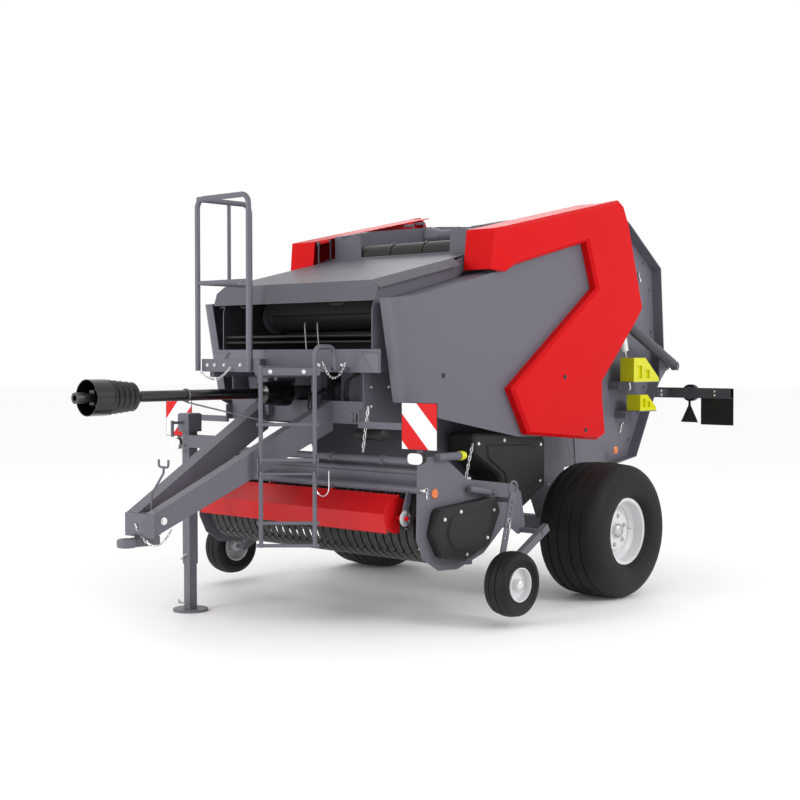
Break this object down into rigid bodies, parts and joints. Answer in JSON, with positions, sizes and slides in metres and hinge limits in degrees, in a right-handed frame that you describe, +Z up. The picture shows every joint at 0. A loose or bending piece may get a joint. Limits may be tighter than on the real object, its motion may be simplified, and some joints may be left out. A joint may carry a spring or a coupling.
{
  "type": "round baler",
  "caption": "Towed round baler with roller chamber, opening tailgate, floating pickup, hinged side covers, drawbar, drive shaft, platform and parking jack.",
  "frame": {"origin": "on the ground, under the middle of the overall length and width", "axes": "+X to the machine's left, -Y towards the tractor, +Z up"},
  "size_m": [2.795, 5.165, 2.79],
  "materials": {
    "tyre": "matte black farm tyre rubber",
    "rim": "light silver wheel paint",
    "grey": "slate grey powder coat",
    "grey_plastic": "smooth slate grey panel",
    "red_plastic": "glossy bright red moulding",
    "red_steel": "bright red painted sheet",
    "steel": "bright worn steel",
    "black_steel": "black painted steel",
    "black_plastic": "matte black plastic",
    "black_gloss": "glossy black plastic guard",
    "board": "red and white striped warning board",
    "lime": "lime yellow plastic",
    "zinc": "zinc plated steel",
    "lamp": "lamp lens and reflector",
    "chrome": "chromed rod"
  },
  "bodies": {
    "chassis": {"axle": "grey", "chamber_wall_left": "grey", "chamber_wall_right": "grey", "hinge_tube": "grey", "chamber_rollers_front": "steel", "drawbar_left": "grey", "drawbar_right": "grey", "drawbar_head": "grey", "towing_eye": "black_steel", "hose_hook": "grey", "front_frame": "grey", "jack_tube": "grey", "gearbox": "grey", "shaft_guard": "black_gloss", "platform": "grey", "guard_rail": "grey", "ladder_upper": "grey", "net_box": "black_steel", "net_rollers": "black_steel", "pickup_pivots": "grey", "rotor_drive_cover": "black_plastic", "front_boards": "board", "front_lamps": "lamp", "shaft_stay": "zinc"},
    "wheel_left": {"tyre_left": "tyre", "rim_left": "rim"},
    "wheel_right": {"tyre_right": "tyre", "rim_right": "rim"},
    "shaft": {"drive_shaft": "steel"},
    "jack": {"jack_leg": "grey"},
    "ladder": {"ladder_lower": "grey"},
    "hood": {"net_hood": "grey"},
    "cover_left": {"cover_panel_left": "grey_plastic", "cover_band_left": "red_plastic"},
    "cover_right": {"cover_panel_right": "grey_plastic", "cover_band_right": "red_plastic"},
    "tailgate": {"tailgate_wall_left": "grey", "tailgate_wall_right": "grey", "tailgate_back": "grey", "chamber_rollers_rear": "steel", "light_bar": "black_steel", "rear_lamps": "lamp", "rear_boards": "board", "wheel_chocks": "lime"},
    "barrel_left": {"cylinder_barrel_left": "black_steel"},
    "barrel_right": {"cylinder_barrel_right": "black_steel"},
    "rod_left": {"cylinder_rod_left": "chrome"},
    "rod_right": {"cylinder_rod_right": "chrome"},
    "pickup": {"pickup_frame": "grey", "pickup_strips": "black_steel", "gauge_arms": "zinc", "reel_drive_cover": "black_plastic"},
    "reel": {"pickup_reel": "black_steel"},
    "guard": {"wind_guard": "red_steel"},
    "gauge_left": {"gauge_tyre_left": "tyre", "gauge_rim_left": "rim"},
    "gauge_right": {"gauge_tyre_right": "tyre", "gauge_rim_right": "rim"},
    "rotor": {"feed_rotor": "grey"}
  },
  "joints": [
    {"name": "wheel_left_spin", "type": "hinge", "parent": "chassis", "child": "wheel_left", "pos_m": [1.08, 1.0275, 0.466], "axis": [1, 0, 0], "continuous": true},
    {"name": "wheel_right_spin", "type": "hinge", "parent": "chassis", "child": "wheel_right", "pos_m": [-1.08, 1.0275, 0.466], "axis": [1, 0, 0], "continuous": true},
    {"name": "drive_shaft_spin", "type": "hinge", "parent": "chassis", "child": "shaft", "pos_m": [0, -1.4725, 1.437], "axis": [0, 1, 0], "continuous": true},
    {"name": "jack_slide", "type": "slide", "parent": "chassis", "child": "jack", "axis": [0, 0, 1], "range_m": [0, 0.24]},
    {"name": "ladder_fold", "type": "hinge", "parent": "chassis", "child": "ladder", "pos_m": [0.42, -1.3525, 0.961], "axis": [-0.7372, -0.6757, 0], "range_deg": [0, 150]},
    {"name": "net_hood_hinge", "type": "hinge", "parent": "chassis", "child": "hood", "pos_m": [0, 0.1335, 2.37], "axis": [-1, 0, 0], "range_deg": [0, 55]},
    {"name": "cover_left_hinge", "type": "hinge", "parent": "chassis", "child": "cover_left", "pos_m": [0.7, -0.2325, 2.44], "axis": [0, -0.9796, -0.2008], "range_deg": [0, 55]},
    {"name": "cover_right_hinge", "type": "hinge", "parent": "chassis", "child": "cover_right", "pos_m": [-0.7, -0.2325, 2.44], "axis": [0, 0.9796, 0.2008], "range_deg": [0, 55]},
    {"name": "tailgate_hinge", "type": "hinge", "parent": "chassis", "child": "tailgate", "pos_m": [0, 1.1275, 2.6], "axis": [1, 0, 0], "range_deg": [0, 65]},
    {"name": "barrel_left_pivot", "type": "hinge", "parent": "tailgate", "child": "barrel_left", "pos_m": [0.78, 2.4775, 1.595], "axis": [1, 0, 0], "range_deg": [-6, 3]},
    {"name": "barrel_right_pivot", "type": "hinge", "parent": "tailgate", "child": "barrel_right", "pos_m": [-0.78, 2.4775, 1.595], "axis": [1, 0, 0], "range_deg": [-6, 3]},
    {"name": "rod_left_slide", "type": "slide", "parent": "barrel_left", "child": "rod_left", "axis": [0, -0.9094, 0.416], "range_m": [0, 0.42]},
    {"name": "rod_right_slide", "type": "slide", "parent": "barrel_right", "child": "rod_right", "axis": [0, -0.9094, 0.416], "range_m": [0, 0.42]},
    {"name": "pickup_lift", "type": "hinge", "parent": "chassis", "child": "pickup", "pos_m": [0, 0.0775, 0.75], "axis": [-1, 0, 0], "range_deg": [-8, 12]},
    {"name": "reel_spin", "type": "hinge", "parent": "pickup", "child": "reel", "pos_m": [0, -0.5725, 0.62], "axis": [1, 0, 0], "continuous": true},
    {"name": "wind_guard_hinge", "type": "hinge", "parent": "pickup", "child": "guard", "pos_m": [0, -0.8225, 0.862], "axis": [-1, 0, 0], "range_deg": [0, 35]},
    {"name": "gauge_left_spin", "type": "hinge", "parent": "pickup", "child": "gauge_left", "pos_m": [1.315, -0.3025, 0.266], "axis": [1, 0, 0], "continuous": true},
    {"name": "gauge_right_spin", "type": "hinge", "parent": "pickup", "child": "gauge_right", "pos_m": [-1.315, -0.3025, 0.266], "axis": [1, 0, 0], "continuous": true},
    {"name": "rotor_spin", "type": "hinge", "parent": "chassis", "child": "rotor", "pos_m": [0, 0.0775, 0.75], "axis": [1, 0, 0], "continuous": true}
  ],
  "couplings": [
    {"joint": "barrel_left_pivot", "follows": "tailgate_hinge", "ratio": -0.03625},
    {"joint": "rod_left_slide", "follows": "tailgate_hinge", "m_per_rad": 0.33306},
    {"joint": "barrel_right_pivot", "follows": "tailgate_hinge", "ratio": -0.03625},
    {"joint": "rod_right_slide", "follows": "tailgate_hinge", "m_per_rad": 0.33306}
  ]
}
